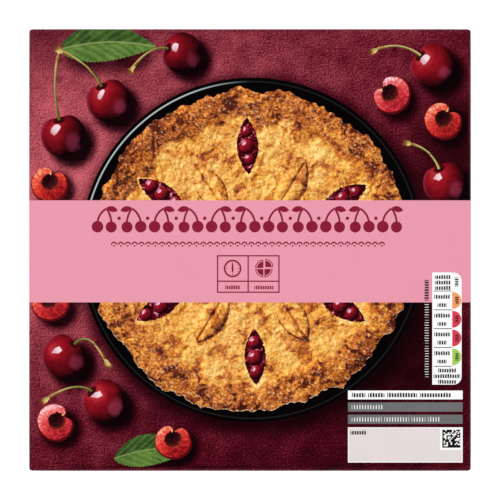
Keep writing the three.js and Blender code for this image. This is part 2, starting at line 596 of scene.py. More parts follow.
def suede(place, _):
    away = (place - ground_glow_place) * ground_glow_shape
    glow = between(away.length(), 0.0, ground_glow_reach, 1.0, 0.33)
    nap = clouds(place, 1.15, 4.0, 0.7)
    nap_beside = clouds(place + (0.32, -0.32, 0), 1.15, 4.0, 0.7)
    patches = clouds(place, 0.1, 3.0, 0.6)
    drift = clouds(place, 0.022, 1.0)
    tone = (nap_beside - nap) * 1.5 + glow + swung(nap, 0.2) + swung(patches, 0.1) + swung(drift, 0.05)
    shade = attribute(place.tree, "cast_shade", "Fac")
    lit = ramp(
        tone * between(shade, 0.0, 1.0, 1.0, 0.7),
        (0.08, 24, 1, 8),
        (0.3, 62, 4, 16),
        (0.43, 90, 9, 27),
        (0.55, 112, 29, 46),
        (0.7, 142, 55, 68),
        (0.87, 176, 76, 87),
        (1.0, 206, 100, 110),
    )
    return mixed(shade**1.4 * 0.98, lit, printed(6, 0, 3))


ink("ground_ink", suede)


# The dish
# The pie is pictured in a round black enamelled dish. Light from the upper left catches the rim in a thin
# line. Fields are laid on the picture from the bottom up, each over what lies there already.
dish_x = 0.9
dish_radius = 76.0
dish_lip = 1.7
dish_line = 0.36
picture = []


def lay(ink_name, outline, local=same_place):
    picture.append(Field(ink_name, outline, local))


def ring_of(x0, s0, radius, count=48, flatten=1.0, turn=0.0, start=0.0, end=math.tau):
    """Points round an ellipse, or along a part of one."""
    steps = count if end - start >= math.tau else count + 1
    angles = [start + (end - start) * k / count for k in range(steps)]
    points = [(radius * math.cos(angle), radius * flatten * math.sin(angle)) for angle in angles]
    return placed(points, x0, s0, turn)


def enamel(_, motif):
    off_lip = abs(motif.length() - (1 - dish_lip / dish_radius))
    rim = between(off_lip, 1.2 * dish_line / dish_radius, 0.5 * dish_line / dish_radius)
    to_light = motif.normalized().dot((-0.79, 0.61, 0))
    catch = between(to_light, 0.6, 0.9, 0.02, 1.0, smooth=True)
    return mixed(rim * catch, printed(4, 1, 3), printed(184, 194, 196))


ink("dish_ink", enamel)
cast_shades.append((dish_x + 1.2, -2.0, dish_radius - 1, 9.0, 0.85))
lay("dish_ink", ring_of(dish_x, 0, dish_radius, 180), about(dish_x, 0, dish_radius))


# The pie
# A whole shortcrust pie, baked golden and strewn with sugar, with a raised, crumbly, browner rim. Its crumbs
# and swells are drawn as light and shade, each from the difference in height between two near places.
pie_radius = 70.6
pie_x = 0.4
pie_s = -0.6
rim_foot = pie_radius - 11.0
plain_browning = 0.24

relief, (place, crumb), result = new_group(
    "pastry relief",
    {"Place": "Vector", "Crumb": "Float"},
    {"Height": "Float", "Grain": "Float", "Pick": "Float"},
)
shaken = place + clouds(place, 1.1, output="Color") * (2.6, 2.6, 0)
grains = node(relief, "ShaderNodeTexVoronoi", {"Vector": shaken, "Scale": 0.86, "Randomness": 1.0})
grain = between(Signal(grains.outputs["Distance"]), 0.0, 0.75, 1.0, 0.0)
swells = clouds(place, 0.12, 2.0, 0.55)
blisters = clouds(place, 0.29)
crumbs = clouds(place, 0.62, 5.0, 0.7, 0.4)
rough = crumbs * 1.2 + grain * 0.4
(rough * crumb + blisters * 1.7 + swells * 2.6).into(result["Height"])
grain.into(result["Grain"])
Signal(grains.outputs["Color"]).into(result["Pick"])

pastry, (place, browning, crumb, base_light), result = new_group(
    "baked pastry",
    {"Place": "Vector", "Browning": "Float", "Crumb": "Float", "Light": "Float"},
    {"Colour": "Color"},
)
here = grouped(relief, Place=place, Crumb=crumb)
beside = grouped(relief, Place=place + (0.42, -0.42, 0), Crumb=crumb)
light = (beside["Height"] - here["Height"]) * 0.95 + base_light
patches = clouds(place, 0.08, 4.0, 0.62, 0.6)
specks = clouds(place, 0.95, 4.0, 0.72)
spots = clouds(place, 0.15, 3.0, 0.62, 0.9)
grainy = swung(specks, 0.2) + between(here["Grain"], 0.2, 0.8, 0.17, -0.14)
toasting = browning + between(patches, 0.32, 0.68, -0.16, 0.16) + grainy * crumb
toasting = toasting + between(spots, 0.48, 0.64, 0.0, 0.38, smooth=True) - (light - 1.0) * 0.4
crust = ramp(
    toasting,
    (0.0, 255, 226, 160),
    (0.2, 248, 196, 110),
    (0.42, 230, 156, 70),
    (0.62, 198, 112, 52),
    (0.82, 148, 74, 44),
    (1.0, 82, 32, 22),
)
yellow = between(clouds(place, 0.045), 0.38, 0.6, 0.1, 0.8)
buttery = mixed(yellow, crust, (1.0, 0.94, 0.62, 1.0), "MULTIPLY")
shaded = mixed(1.0, buttery, light.held(0.35, 1.3), "MULTIPLY")
picked = between(here["Pick"], 0.45, 0.55) * crumb
sparkle = (between(here["Grain"], 0.5, 0.85) * picked).held(0.0, 1.0)
mixed(sparkle * 0.5, shaded, printed(250, 214, 180)).into(result["Colour"])


def baked(place, browning, crumb, light=1.0):
    """Pastry, how far it is browned, how crumbly it is, and how much light falls on it."""
    return grouped(pastry, Place=place, Browning=browning, Crumb=crumb, Light=light)["Colour"]


def round_shape(x0, s0, count, reach):
    """A closed outline round (x0, s0). reach gives how far out it is at an angle."""
    angles = [math.tau * k / count for k in range(count)]
    points = [(reach(angle) * math.cos(angle), reach(angle) * math.sin(angle)) for angle in angles]
    return placed(points, x0, s0)


def crumbly(x0, s0, radius, count, roughness, seed):
    """A round outline with the swells and crumbs of baked pastry, from wide and high to fine and low."""
    swells_and_crumbs = ((0.8, 2.6), (0.6, 9), (0.44, 32))

    def reach(angle):
        way = Vector((math.cos(angle), math.sin(angle), 0))
        swell = sum(high * noise.noise(way * fine + Vector((0, 0, seed))) for high, fine in swells_and_crumbs)
        return radius + roughness * swell

    return round_shape(x0, s0, count, reach)


def crust_of_the_pie(place, motif):
    radius = motif.length() + swung(clouds(motif, 0.05, 3.0, 0.6), 3.5)
    from_foot = abs(radius - rim_foot)
    inner_slope = between(from_foot, 0.0, 3.2, 1.0, 0.0, smooth=True)
    outer_slope = between(radius, pie_radius - 5, pie_radius + 1.5, 0.0, 1.2, smooth=True)
    to_light = motif.normalized().dot((-0.7, 0.7, 0))
    light = (outer_slope - inner_slope) * to_light * 0.22 + 1.0
    foot_line = between(from_foot, 0.0, 2.4, 0.2, 0.0)
    rim = between(radius, rim_foot - 3, rim_foot + 4, 0.0, 0.29, smooth=True)
    edge = between(radius, pie_radius - 4, pie_radius + 1, 0.0, 0.05)
    lit_side = between(to_light, 0.2, 0.95, 0.9, 1.35)
    crumb = between(radius, rim_foot - 4, rim_foot + 4, 0.7, 1.15)
    return baked(place, rim * lit_side + edge + foot_line + plain_browning, crumb, light)


def edge_crumbs(place, _):
    """The pale, broken edge of the crust that shows under it on the lower side."""
    return ramp(clouds(place, 0.8, 3.0, 0.7), (0.42, 92, 46, 28), (0.5, 190, 140, 96), (0.6, 236, 206, 168))


ink("crust_ink", crust_of_the_pie)
ink("crumb_edge_ink", edge_crumbs)
lay("crumb_edge_ink", crumbly(pie_x - 0.1, pie_s - 0.4, pie_radius, 420, 3.4, 3.7))
lay("crust_ink", crumbly(pie_x, pie_s, pie_radius, 420, 3.4, 3.7), about(pie_x, pie_s))


# The steam cuts
# Six leaf-shaped cuts stand round the lid, cut through it before it was baked. Each has a pale, broken
# edge, and dark syrup and whole cherries show in it.
cut_count = 6
cut_ring = 46.5
cut_length = 25
cut_width = 9.5
cherry_spacing = 6.6


def petal(x0, s0, length, width, turn, count=22, waver=0.0, seed=0.0):
    """A pointed oval, its sides wavering a little if it is torn or hand-cut."""
    points = []
    for side in (1, -1):
        for k in range(count):
            share = k / count if side > 0 else 1 - k / count
            u = length * (share - 0.5)
            half = 0.5 * width * math.sin(math.pi * share) ** 0.8
            points.append((u, side * (half + waver * noise.noise(Vector((u * 0.9, 7.0 * side, seed))))))
    return placed(points, x0, s0, turn)


def torn_edge(place, _):
    return baked(place, 0.12, 0.8)


def syrup(place, _):
    gloss = clouds(place, 0.42, 3.0, 0.6, 1.2)
    return ramp(gloss, (0.42, 26, 1, 6), (0.55, 88, 8, 20), (0.62, 160, 34, 58), (0.69, 230, 166, 192))


def stewed_cherry(place, motif):
    wet = swung(clouds(place, 0.55, 3.0, 0.6), 0.12)
    tone = motif.dot((-0.45, 0.5, 0)) + 0.55 - motif.length() ** 3.0 * 0.4 + wet
    return ramp(tone, (0.05, 34, 2, 8), (0.45, 112, 12, 26), (0.8, 164, 26, 42), (0.98, 224, 150, 176))


ink("torn_pastry_ink", torn_edge)
ink("syrup_ink", syrup)
ink("stewed_cherry_ink", stewed_cherry)
ink("glint_ink", printed(238, 196, 214))
draw = random.Random(11)
for k in range(cut_count):
    turn = math.tau * (k + 0.5) / cut_count + draw.uniform(-0.05, 0.05)
    x = pie_x + cut_ring * math.cos(turn)
    s = pie_s + cut_ring * math.sin(turn)
    lay("torn_pastry_ink", petal(x + 0.5, s - 0.5, cut_length + 3.0, cut_width + 2.8, turn, 30, 0.9, k))
    lay("syrup_ink", petal(x, s, cut_length, cut_width, turn, 30, 0.8, k + 20))
    for step in (-1, 0, 1):
        out = cut_ring + cherry_spacing * step + draw.uniform(-0.6, 0.6)
        size = 3.5 - 0.6 * abs(step) + draw.uniform(-0.3, 0.2)
        x = pie_x + out * math.cos(turn) + draw.uniform(-0.5, 0.5)
        s = pie_s + out * math.sin(turn) + draw.uniform(-0.5, 0.5)
        lay("stewed_cherry_ink", ring_of(x, s, size, 26, 0.94, turn), about(x, s, size))
        glint_size = (0.62 * size, 0.3 * size)
        glint = petal(x - 0.34 * size, s + 0.38 * size, *glint_size, 0.7 + 0.4 * step, 8, 0.08, k)
        lay("glint_ink", glint)


# The pastry leaves
# Between the cuts lie leaves of rolled pastry, puffed up on both sides of a scored middle vein, with browned
# edges and short side veins. Each lies at its own turn, so each takes the light differently.
leaf_ring = 33.5
pastry_leaf_length = 25
pastry_leaf_width = 11.5


def pastry_leaf(place, motif):
    along, over, turn = motif.axes()
    across = abs(over)
    crease = over.worked("SIGN") * between(across, 0.0, 0.07, 1.0, 0.0)
    tilt = (over * across * 26.0 - crease) * (turn + math.pi / 4).sine()
    side_vein = between((along * 34.0 - across * 30.0).sine(), 0.6, 0.98, 0.0, 0.16)
    vein = between(across, 0.008, 0.04, 0.36, 0.0)
    edge = between((motif * (1, 2.1, 0)).length(), 0.36, 0.5, 0.0, 0.3)
    browning = vein.worked("MAXIMUM", side_vein) + edge + plain_browning
    return baked(place, browning, 0.5, tilt * 0.42 + 1.06)


def leaf_shade(place, _):
    return baked(place, 0.66, 0.8, 0.82)


ink("pastry_leaf_ink", pastry_leaf)
ink("leaf_shade_ink", leaf_shade)
for k in range(cut_count):
    turn = math.tau * k / cut_count + draw.uniform(-0.05, 0.05)
    x = pie_x + leaf_ring * math.cos(turn)
    s = pie_s + leaf_ring * math.sin(turn)
    under = petal(x + 0.5, s - 0.7, pastry_leaf_length + 1, pastry_leaf_width + 0.8, turn, 26, 0.5, k + 40)
    leaf = petal(x, s, pastry_leaf_length, pastry_leaf_width, turn, 26, 0.5, k + 40)
    lay("leaf_shade_ink", under)
    lay("pastry_leaf_ink", leaf, about(x, s, pastry_leaf_length, turn, turn))


# The green leaves
# Two fresh cherry leaves with toothed edges and a fine pale middle vein. The blade is puffed up a little
# between the side veins, and the half that turns away from the light is darker.
leaf_tooth = 0.5
leaf_arch = 0.06


def toothed_leaf(x0, s0, length, width, turn, teeth=26):
    """A leaf's outline from its stalk at (x0, s0), with its teeth raked towards the tip."""
    points = []
    for side in (1, -1):
        for k in range(2 * teeth):
            step = k if side > 0 else 2 * teeth - k
            share = step / (2 * teeth)
            half = 0.5 * width * math.sin(math.pi * share**0.82) ** 0.9 + (leaf_tooth if step % 2 else 0.0)
            points.append((length * share, side * half + leaf_arch * length * math.sin(math.pi * share)))
    return placed(points, x0, s0, turn)


def leaf_blade(place, motif):
    along, over, _ = motif.axes()
    from_middle = over - (along * math.pi).sine() * leaf_arch
    across = abs(from_middle)
    wave = along * 50.0 - across * 80.0 + swung(clouds(place, 0.2), 0.9)
    puffed = wave.sine()
    net = swung(clouds(place, 0.85, 5.0, 0.75), 0.17)
    broad = swung(clouds(place, 0.16), 0.12)
    tone = puffed * 0.07 + between(from_middle, -0.03, 0.03, 0.56, 0.3) + net + broad
    blade = ramp(tone, (0.0, 26, 46, 20), (0.3, 58, 86, 38), (0.56, 90, 124, 54), (1.0, 140, 166, 86))
    veined = mixed(between(puffed, 0.93, 1.0, 0.0, 0.22), blade, printed(136, 154, 92))
    return mixed(between(across, 0.003, 0.012, 0.62, 0.0), veined, printed(160, 168, 104))


ink("green_leaf_ink", leaf_blade)
for x, s, length, width, turn in ((-84.5, 88.5, 43, 16.5, 0.03), (-60, -92, 34, 13.5, 0.12)):
    lay("green_leaf_ink", toothed_leaf(x, s, length, width, turn), about(x, s, length, turn))
    for share in (0.25, 0.5, 0.75):
        along = length * share
        middle = (x + along * math.cos(turn) + 1.4, s + along * math.sin(turn) - 2.4)
        cast_shades.append((*middle, 0.3 * width, 0.45 * width, 0.75))


# The whole cherries
# Ripe cherries from bright to black red, each with a dimple where its stem grows, a window's light on its
# upper left, a slanted bar or a bent kite, and a rosy sheen low on its right. Every stem is one curved strip
# with a flared, ragged brown tip.
stem_half = 0.54
stem_tip = 2.6
dimple_depth = 0.13
pale_stems_right_of = 50
stem_paleness = 0.66
kites_below = 40


def cherry_outline(x0, s0, radius, stem_turn, flatten=0.95):
    """Nearly round, a little broader than long, and drawn in at the stem."""

    def reach(angle):
        off = math.remainder(angle - stem_turn, math.tau)
        drawn_in = dimple_depth * math.exp(-((off / 0.42) ** 2))
        shoulders = 0.035 * math.exp(-(((abs(off) - 0.75) / 0.4) ** 2))
        return radius * (flatten + (1 - flatten) * math.sin(off) ** 2 - drawn_in + shoulders)

    return round_shape(x0, s0, 64, reach)


def curved(start, bend, end, count=18):
    """Points along a curve that leaves start towards bend and arrives at end from it."""
    points = []
    for k in range(count + 1):
        share = k / count
        weights = ((1 - share) ** 2, 2 * share * (1 - share), share**2)
        points.append(tuple(sum(w * p[i] for w, p in zip(weights, (start, bend, end))) for i in (0, 1)))
    return points


def strip(way, half_at):
    """A strip along a way. half_at gives half its width at a share of the way."""
    left = []
    right = []
    for k, (x, s) in enumerate(way):
        before = way[max(k - 1, 0)]
        after = way[min(k + 1, len(way) - 1)]
        across = Vector((before[1] - after[1], after[0] - before[0])).normalized()
        across *= half_at(k / (len(way) - 1))
        left.append((x + across.x, s + across.y))
        right.append((x - across.x, s - across.y))
    return left + right[::-1]


def cherry_skin(place, motif):
    ripeness = motif.axes()[2]
    face = motif * (1, 1, 0)
    bruise = clouds(place + (40, 9, 0), 0.14, 3.0, 0.6)
    dots = clouds(place, 1.5, 3.0, 0.7)
    tone = face.length() ** 4.0 * -0.42 + face.dot((-0.3, 0.24, 0)) + 0.58 - ripeness * 0.24
    tone = tone + swung(bruise, 0.12) + swung(dots, 0.06)
    tone = tone + between(face.distance((-0.34, 0.28, 0)), 0.2, 0.7, 0.14, 0.0, smooth=True)
    skin = ramp(
        tone,
        (0.0, 14, 0, 3),
        (0.24, 62, 4, 12),
        (0.5, 116, 10, 22),
        (0.72, 156, 20, 34),
        (1.0, 204, 64, 72),
    )
    low_right = (face * (1.25, 1.0, 0)).distance((0.6, -0.3, 0)) + swung(bruise, 0.2)
    sheen = between(low_right, 0.5, 0.12, smooth=True) * (ripeness * -0.3 + 0.44)
    outline = between(face.length(), 0.86, 0.97, 0.0, 0.4)
    lined = (outline * between(face.dot((-0.9, 0.2, 0)), 0.3, 0.8)).held(0.0, 1.0)
    return mixed(sheen.worked("MAXIMUM", lined), skin, printed(172, 58, 88))


def window_light(place, motif):
    along, over, _ = motif.axes()
    across = between(abs(over), 0.7, 1.0, 1.0, 0.35, smooth=True)
    fade = between(along, -1.0, 0.5, 0.55, 1.0, smooth=True)
    broken = between(clouds(place, 0.7), 0.3, 0.5, 0.82, 1.0)
    return mixed(across * fade * broken, printed(150, 34, 50), printed(250, 216, 224))


def stem_skin(place, motif):
    along, over, paleness = motif.axes()
    green = ramp(
        swung(clouds(place, 0.5, 3.0, 0.6), 0.1) + along.worked("MAXIMUM", paleness),
        (0.0, 104, 112, 44),
        (0.45, 178, 176, 92),
        (0.74, 226, 206, 128),
        (0.9, 204, 142, 78),
        (1.0, 126, 70, 36),
    )
    return mixed(between(over, 0.1, 0.85, 0.0, 0.85), green, printed(52, 48, 14))


def dimple(_, motif):
    depth = (motif * (1, 1.9, 0)).length()
    return mixed(between(depth, 0.2, 0.95, smooth=True), printed(22, 1, 4), printed(88, 8, 18))


ink("cherry_skin_ink", cherry_skin)
ink("window_light_ink", window_light)
ink("stem_ink", stem_skin)
ink("dimple_ink", dimple)


def stem_place(way, paleness):
    """Coordinates on a stem: the share of the way along it, and how far across towards its dark side."""

    def local(x, s):
        nearest = min(range(len(way)), key=lambda k: math.hypot(x - way[k][0], s - way[k][1]))
        a = way[max(nearest - 1, 0)]
        b = way[min(nearest + 1, len(way) - 1)]
        run = Vector((b[0] - a[0], b[1] - a[1])).normalized()
        off = Vector((x - way[nearest][0], s - way[nearest][1]))
        across = run.x * off.y - run.y * off.x
        towards_dark = across if run.y * 0.7 + run.x * 0.7 < 0 else -across
        return (nearest / (len(way) - 1), 0.5 + 0.5 * towards_dark / stem_half, paleness)

    return local


def window_pane(x0, s0, radius):
    """The window's light on a cherry, a slanted bar or a bent kite, with its own coordinates."""
    if s0 < kites_below:
        corners = [(-1.1, -0.15), (-0.4, -0.6), (0.1, -1.0), (0.55, -0.8)]
        corners += [(1.0, -0.5), (0.82, 0.15), (0.75, 0.75), (-0.2, 0.65)]
        width = 0.2
        lean = 0.45
    else:
        corners = [(-1, -0.8), (-0.45, -1.0), (0.3, -0.85), (0.95, -0.6)]
        corners += [(1.0, 0.25), (0.5, 0.9), (-0.35, 1.0), (-0.95, 0.4)]
        width = 0.15
        lean = 1.0
    half_long = (0.25 + 0.05 * math.sin(s0)) * radius
    half_wide = (width + 0.03 * math.cos(s0)) * radius
    turn = lean + 0.2 * math.sin(x0)
    middle = (x0 - 0.34 * radius, s0 + 0.28 * radius)
    pane = placed([(u * half_long, v * half_wide) for u, v in corners], *middle, turn)
    locate = about(*middle, 1.0, turn)

    def on_the_pane(x, s):
        u, v, _ = locate(x, s)
        return (u / half_long, v / half_wide, 0.0)

    return Field("window_light_ink", pane, on_the_pane)


def flared_tip(way, seed):
    """The ragged brown end of a stem. It is pale where it starts and brown at its tip."""
    end = Vector(way[-1])
    run = (end - Vector(way[-2])).normalized()
    locate = about(*end, stem_tip, math.atan2(run.y, run.x))

    def half_at(share):
        flare = 0.62 + 0.75 * math.sin(math.pi * min(share, 0.8) / 1.4) ** 2
        return flare + 0.2 * math.sin(seed + 9 * share)

    def on_the_tip(x, s):
        along, over, tag = locate(x, s)
        return (0.72 + 0.42 * max(along, 0.0), 0.3 - 0.8 * over, tag)

    tip_way = [way[-2]] + [tuple(end + stem_tip * share * run) for share in (0, 0.5, 1)]
    return Field("stem_ink", strip(tip_way, half_at), on_the_tip)


def whole_cherry(x0, s0, radius, stem_bend, stem_end, ripeness):
    """A cherry and its stem, which leaves the dimple towards stem_bend and ends at stem_end."""
    stem_turn = math.atan2(stem_bend[1] - s0, stem_bend[0] - x0)
    across = stem_turn + math.pi / 2
    root = placed([(0.7 * radius, 0)], x0, s0, stem_turn)[0]
    way = curved(root, stem_bend, stem_end)
    stalk = strip(way, lambda share: stem_half * (1.2 - 0.45 * math.sin(math.pi * share) + 0.3 * share**6))
    paleness = stem_paleness if x0 > pale_stems_right_of else 0.0
    cast_shades.append((x0 + 0.42 * radius, s0 - 0.38 * radius, 0.86 * radius, 0.5 * radius, 1.0))
    for k in (6, 11, 16):
        cast_shades.append((way[k][0] + 0.9, way[k][1] - 1.3, 0.3, 1.6, 0.6))
    lay("cherry_skin_ink", cherry_outline(x0, s0, radius, stem_turn), about(x0, s0, radius, 0, ripeness))
    lay("dimple_ink", ring_of(*root, 0.3 * radius, 24, 0.5, across), about(*root, 0.3 * radius, across))
    lay("stem_ink", stalk, stem_place(way, paleness))
    picture.extend([flared_tip(way, x0), window_pane(x0, s0, radius)])


leaf_joint = (-84.0, 88.0)
for cherry in (
    (-82.5, 50.5, 9.8, (-88, 74), leaf_joint, 0.6),
    (-62.5, 66.0, 9.6, (-70, 82), leaf_joint, 0.3),
    (-30.0, 87.0, 9.0, (-44, 91), (-52, 80), 0.7),
    (80.5, 81.5, 9.7, (66, 93), (55, 88), 0.0),
    (86.0, 29.5, 9.6, (80, 45), (70, 47), 0.2),
    (-82.0, -47.0, 9.8, (-71, -34), (-63, -50), 0.4),
    (-64.5, -66.5, 9.5, (-77, -57), (-90, -66), 0.1),
):
    whole_cherry(*cherry)


# The halved cherries
# Cherries cut through the stem end: a thin dark skin round bright wet flesh with fine pale rays, and the
# stone's dark, pulpy hollow open to the notch of the dimple. Some are orange red and some are rosier.
flesh_share = 0.93
stone_share = 0.46


def wet_flesh(place, motif):
    rosy = motif.axes()[2]
    face = motif * (1, 1, 0)
    radius = face.length()
    around = face.normalized() * (5.0, 5.0, 0) + place * (0.1, 0.1, 0)
    rays = swung(clouds(around, 2.2, 4.0, 0.75), 0.3, -0.14)
    wet = swung(clouds(place, 0.75, 5.0, 0.75), 0.28, -0.24)
    rim = between(radius, 0.86, 0.95, 0.0, -0.24)
    orange = ramp(
        radius * 0.34 + rays + wet + face.dot((-0.2, 0.34, 0)) + rosy * 0.1 + rim,
        (0.0, 112, 12, 18),
        (0.2, 190, 34, 34),
        (0.45, 224, 66, 50),
        (0.68, 242, 124, 92),
        (0.9, 255, 214, 172),
    )
    return mixed(rosy, orange, (1.0, 1.2, 2.4, 1.0), "MULTIPLY")


def stone_hollow(place, motif):
    pulp = swung(clouds(place, 0.95, 5.0, 0.8), 0.34, -0.3)
    edge = between(motif.length(), 0.6, 1.0, 0.0, 0.36)
    tone = motif.dot((0.2, -0.26, 0)) + 0.26 + pulp + edge
    return ramp(tone, (0.1, 20, 3, 6), (0.42, 56, 12, 16), (0.75, 118, 32, 28), (1.0, 190, 66, 50))


ink("flesh_ink", wet_flesh)
ink("hollow_ink", stone_hollow)
ink("cut_skin_ink", printed(84, 8, 16))
ink("pith_ink", printed(232, 178, 112))


def half_outline(x0, s0, radius, notch_turn):
    """A cut face: round, with a deep notch where the stem was."""

    def reach(angle):
        off = math.remainder(angle - notch_turn, math.tau)
        notch = 0.34 * math.exp(-((off / 0.3) ** 2))
        uneven = 0.03 * noise.noise(Vector((2 * math.cos(angle), 2 * math.sin(angle), x0)))
        return radius * (0.93 + 0.07 * math.sin(off) ** 2 - notch + uneven)

    return round_shape(x0, s0, 60, reach)


def spoke(x0, s0, turn, start, end, half_at):
    """A straight strip out from (x0, s0), between two distances."""
    return strip(placed([(start, 0), (end, 0)], x0, s0, turn), half_at)


for x, s, radius, notch_turn, rosy in (
    (62.5, 68.5, 8.7, 2.5, 0.8),
    (85.0, 57.0, 8.6, 0.9, 0.1),
    (-88.5, 29.0, 8.4, 1.2, 0.0),
    (-88.0, -23.0, 8.8, 2.0, 0.3),
    (-86.0, -76.0, 8.6, 0.5, 0.7),
    (-34.0, -84.5, 8.3, 1.4, 0.1),
):
    flesh = half_outline(x - 0.1, s + 0.15, flesh_share * radius, notch_turn)
    stone = placed([(0.12 * radius, 0)], x, s, notch_turn)[0]
    stone_radius = stone_share * radius
    lay("cut_skin_ink", half_outline(x + 0.2, s - 0.25, radius, notch_turn))
    lay("flesh_ink", flesh, about(x, s, radius, 0, rosy))
    lay("hollow_ink", crumbly(*stone, stone_radius, 34, 0.06 * radius, x), about(*stone, stone_radius))
    pith_ends = (0.5 * radius, 0.74 * radius)
    lay("pith_ink", spoke(x, s, notch_turn + 0.26, *pith_ends, lambda share: 0.36 - 0.2 * share))
    cast_shades.append((x + 0.36 * radius, s - 0.36 * radius, 0.8 * radius, 0.5 * radius, 0.97))


# The pink band
# A flat field of pink spot ink, printed over the picture across the whole top. It goes on over the folds
# and down both closed ends.
band_head = 21.9
band_foot = -23.12
pink = printed(236, 156, 175)
wine = printed(140, 29, 56)
end_reach = half_length + 60

ink("pink_ink", pink)
ink("wine_ink", wine)
lay("pink_ink", rectangle(-end_reach, end_reach, band_foot, band_head))


# The frieze
# Sprigs of cherries in wine ink stand in a row along the band, with a dot between each two, and a row of
# little pie-edge scallops runs under them.
frieze_left = -70.3
frieze_right = 68.1
frieze_height = 11.2
frieze_middle = 13.1
sprig_count = 11
scallop_left = -61.5
scallop_right = 59.7
scallop_middle = 2.7
scallop_count = 40
scallop_line = 0.64
sprig_stem_half = 0.4


def sprig(ink_name, x0, s0, height, mirrored=False):
    """A pair of cherries on bent stems with one leaf, this high."""
    unit = height / 10
    hand = -1 if mirrored else 1
    joint = (0.6, 4.6)
    parts = [ring_of(-2.9, -2.5, 2.3, 28), ring_of(2.5, -2.65, 2.2, 28)]
    parts.append(strip(curved((-2.9, -0.6), (-2.2, 3.0), joint, 10), lambda share: sprig_stem_half))
    parts.append(strip(curved((2.6, -0.8), (2.2, 2.6), joint, 10), lambda share: sprig_stem_half))
    parts.append(petal(2.9, 4.4, 4.6, 2.3, -0.25))
    return [Field(ink_name, [(x0 + hand * unit * x, s0 + unit * s) for x, s in part]) for part in parts]


def part_of_ring(x0, s0, outer, inner, count, start, end):
    outside = ring_of(x0, s0, outer, count, start=start, end=end)
    inside = ring_of(x0, s0, inner, count, start=start, end=end)
    return outside + inside[::-1]


def frieze(left, right, middle, height, count):
    fields = []
    pitch = (right - left) / count
    for k in range(count):
        fields += sprig("wine_ink", left + pitch * (k + 0.5), middle, height, k % 2 == 1)
        if k:
            dot = ring_of(left + pitch * k, middle + 0.08 * height, 0.07 * height, 14)
            fields.append(Field("wine_ink", dot))
    return fields


def scallops(left, right, middle, count, ink_name="wine_ink"):
    fields = []
    pitch = (right - left) / count
    radius = 0.47 * pitch
    for k in range(count):
        x = left + pitch * (k + 0.5)
        half_ring = part_of_ring(x, middle - 0.4, radius, radius - scallop_line, 10, 0, math.pi)
        fields += [Field(ink_name, half_ring), Field(ink_name, ring_of(x, middle - 0.9, 0.4, 10))]
    return fields


picture += frieze(frieze_left, frieze_right, frieze_middle, frieze_height, sprig_count)
picture += scallops(scallop_left, scallop_right, scallop_middle, scallop_count)


# The two pictograms
# A thin wine frame with two cells: a clock face for the time in the oven, and a round cut in four for the
# portions. The small fields under them hold lines of plain strokes.
frame_left = -14.58
frame_middle = -0.81
frame_right = 13.06
frame_head = -2.26
frame_shelf = -14.06
frame_foot = -18.9
frame_line = 0.58
sign_radius = 3.9
sign_print = 1.7
stroke_pitch = 0.6
stroke_edge = 0.02


def framed(ink_name, x0, x1, s0, s1, line):
    """The four sides of a frame as thin fields."""
    fields = [block(ink_name, x0, x1, s0, s0 + line), block(ink_name, x0, x1, s1 - line, s1)]
    return fields + [block(ink_name, x0, x0 + line, s0, s1), block(ink_name, x1 - line, x1, s0, s1)]


def clock_sign(x0, s0, radius, back):
    parts = [Field("wine_ink", ring_of(x0, s0, radius, 40)), Field(back, ring_of(x0, s0, 0.81 * radius, 40))]
    for k in range(12):
        tick = radius * (0.14 if k % 3 == 0 else 0.07)
        outside = 0.74 * radius
        mark = spoke(x0, s0, math.tau * k / 12, outside - tick, outside, lambda share: 0.19)
        parts.append(Field("wine_ink", mark))
    for turn, reach in ((math.pi / 2, 0.58), (-math.pi / 2, 0.46)):
        hand = spoke(x0, s0, turn, 0, reach * radius, lambda share: 0.44 - 0.16 * share)
        parts.append(Field("wine_ink", hand))
    return parts + [Field("wine_ink", ring_of(x0, s0, 0.12 * radius, 12))]


def quarters_sign(x0, s0, radius, back):
    parts = []
    for k in range(4):
        start = math.pi / 2 * k
        end = start + math.pi / 2
        gap = 0.32 + (0.55 if k == 0 else 0.0)
        x, s = placed([(gap, 0)], x0, s0, start + math.pi / 4)[0]
        parts.append(Field("wine_ink", [(x, s)] + ring_of(x, s, radius - 0.3, 12, start=start, end=end)))
        crust = part_of_ring(x, s, 0.82 * radius, 0.72 * radius, 12, start + 0.1, end - 0.1)
        parts.append(Field(back, crust))
    return parts


def stroked(mark, under, share=0.7):
    """Fine upright strokes of uneven height in one ink on another, or on a painted ground. Share is how much
    of the line they fill."""
    half = share * stroke_pitch / 2

    def paint(place, motif):
        along, over, tag = motif.axes()
        off_stroke = along.worked("PINGPONG", stroke_pitch / 2)
        stroke = between(off_stroke, half - stroke_edge, half + stroke_edge, 1.0, 0.0)
        number = (along / stroke_pitch).worked("FLOOR")
        which = Signal(node(place.tree, "ShaderNodeCombineXYZ", {"X": number, "Y": tag}).outputs[0])
        chance = node(place.tree, "ShaderNodeTexWhiteNoise", {"Vector": which}, noise_dimensions="2D")
        head = between(Signal(chance.outputs["Value"]), 0.55, 0.6, 0.36, 0.5)
        mask = stroke * over.worked("LESS_THAN", head)
        return mixed(mask, under(place, motif) if callable(under) else under, mark)

    return paint


def words(ink_name, start, end, middle, height, seed, upright=False):
    """A line of strokes in groups. Each group has its own coordinates, in heights, along it and across."""
    draw = random.Random(seed)
    fields = []
    place = start
    while end - place > 1.4 * height:
        length = stroke_pitch * height * draw.randint(4, 13)
        if end - place - length < 2.2 * height:
            length = end - place
        line = (middle - height / 2, middle + height / 2)
        group = (place, place + length)
        outline = rectangle(*line, *group) if upright else rectangle(*group, *line)
        first = (middle, place) if upright else (place, middle)
        turn = math.pi / 2 if upright else 0.0
        fields.append(Field(ink_name, outline, about(*first, height, turn, draw.random())))
        place += length + 0.6 * height
    return fields


